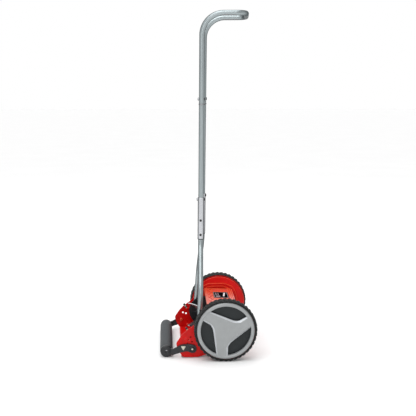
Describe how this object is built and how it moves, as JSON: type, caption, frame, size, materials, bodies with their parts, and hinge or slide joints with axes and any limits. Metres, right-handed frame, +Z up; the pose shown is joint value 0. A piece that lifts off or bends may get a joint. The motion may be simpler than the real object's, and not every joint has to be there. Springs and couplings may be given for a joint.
{
  "type": "reel mower",
  "caption": "Push reel mower with large wheels, a helical cutting reel, bed knife, rear roller and an upright tubular handle.",
  "frame": {"origin": "on the ground, under the middle of the mower's outline with the handle upright", "axes": "+X forward, away from the rear roller; +Y to the mower's left along the wheel axis; +Z up along the upright handle"},
  "size_m": [0.338, 0.442, 1.2024],
  "materials": {
    "red_paint": "satin powder coat",
    "red_plastic": "moulded, semi-gloss",
    "black_paint": "satin paint",
    "black_plastic": "moulded, matt",
    "grey_plastic": "moulded, silver-grey",
    "tyre": "moulded tread",
    "roller_plastic": "moulded, finely ribbed",
    "tube_paint": "grey silver paint",
    "bright_steel": "bright plated",
    "blade_steel": "hardened, ground edges",
    "zinc": "zinc plated",
    "label": "printed film, no text"
  },
  "bodies": {
    "chassis": {"side_plate_right": "red_paint", "side_plate_left": "red_paint", "gear_cover_right": "red_plastic", "gear_cover_left": "red_plastic", "stub_axle_right": "bright_steel", "stub_axle_left": "bright_steel", "reel_bearing_right": "black_plastic", "reel_bearing_left": "black_plastic", "deflector_cover": "red_paint", "cover_decal": "label", "adjuster_screw_right": "zinc", "adjuster_screw_left": "zinc", "knife_pivot_bolt_right": "red_paint", "knife_pivot_bolt_left": "red_paint", "arm_pivot_rivet_right": "black_paint", "arm_pivot_rivet_left": "black_paint", "arm_clamp_bolt_right": "red_paint", "arm_clamp_bolt_left": "red_paint", "handle_pivot_bolt_right": "bright_steel", "handle_pivot_bolt_left": "bright_steel"},
    "bed_knife": {"bed_knife_carrier": "red_paint", "bed_knife": "blade_steel"},
    "roller_arms": {"roller_arm_right": "black_paint", "roller_arm_left": "black_paint", "roller_shaft": "bright_steel", "arm_clamp_nut_right": "zinc", "arm_clamp_nut_left": "zinc"},
    "roller": {"roller": "roller_plastic"},
    "reel": {"reel_shaft": "bright_steel", "reel_blade_1": "blade_steel", "reel_blade_2": "blade_steel", "reel_blade_3": "blade_steel", "reel_blade_4": "blade_steel", "reel_blade_5": "blade_steel", "reel_spider": "black_paint", "reel_disc_right": "black_paint", "reel_disc_left": "black_paint", "pinion_right": "black_plastic"},
    "left_pinion": {"pinion_left": "black_plastic"},
    "right_wheel": {"wheel_body_right": "red_plastic", "drive_gear_right": "black_plastic", "hub_insert_right": "black_plastic", "tyre_right": "tyre", "hub_cap_right": "grey_plastic"},
    "left_wheel": {"wheel_body_left": "red_plastic", "drive_gear_left": "black_plastic", "hub_insert_left": "black_plastic", "tyre_left": "tyre", "hub_cap_left": "grey_plastic"},
    "handle": {"lower_tube_right": "tube_paint", "middle_tube_right": "tube_paint", "sleeve_right": "bright_steel", "upper_joint_bolt_right": "bright_steel", "lower_joint_bolt_right": "bright_steel", "lower_tube_left": "tube_paint", "middle_tube_left": "tube_paint", "sleeve_left": "bright_steel", "upper_joint_bolt_left": "bright_steel", "lower_joint_bolt_left": "bright_steel", "upper_grip": "tube_paint"}
  },
  "joints": [
    {"name": "handle_tilt", "type": "hinge", "parent": "chassis", "child": "handle", "pos_m": [-0.0295, 0, 0.108], "axis": [0, -1, 0], "range_deg": [0, 68]},
    {"name": "right_wheel_spin", "type": "hinge", "parent": "chassis", "child": "right_wheel", "pos_m": [0.059, 0, 0.11], "axis": [0, 1, 0], "continuous": true},
    {"name": "left_wheel_spin", "type": "hinge", "parent": "chassis", "child": "left_wheel", "pos_m": [0.059, 0, 0.11], "axis": [0, 1, 0], "continuous": true},
    {"name": "reel_spin", "type": "hinge", "parent": "chassis", "child": "reel", "pos_m": [0.00101, 0, 0.08351], "axis": [0, 1, 0], "continuous": true},
    {"name": "left_pinion_spin", "type": "hinge", "parent": "chassis", "child": "left_pinion", "pos_m": [0.00101, 0, 0.08351], "axis": [0, 1, 0], "continuous": true},
    {"name": "roller_height", "type": "hinge", "parent": "chassis", "child": "roller_arms", "pos_m": [-0.056, 0, 0.0335], "axis": [0, -1, 0], "range_deg": [0, 35]},
    {"name": "roller_spin", "type": "hinge", "parent": "roller_arms", "child": "roller", "pos_m": [-0.1465, 0, 0.0225], "axis": [0, 1, 0], "continuous": true},
    {"name": "bed_knife_adjust", "type": "hinge", "parent": "chassis", "child": "bed_knife", "pos_m": [-0.063, 0, 0.0226], "axis": [0, 1, 0], "range_deg": [0, 1.5]}
  ],
  "couplings": [
    {"joint": "right_wheel_spin", "follows": "reel_spin", "ratio": 0.20312},
    {"joint": "left_pinion_spin", "follows": "left_wheel_spin", "ratio": 4.9231}
  ]
}
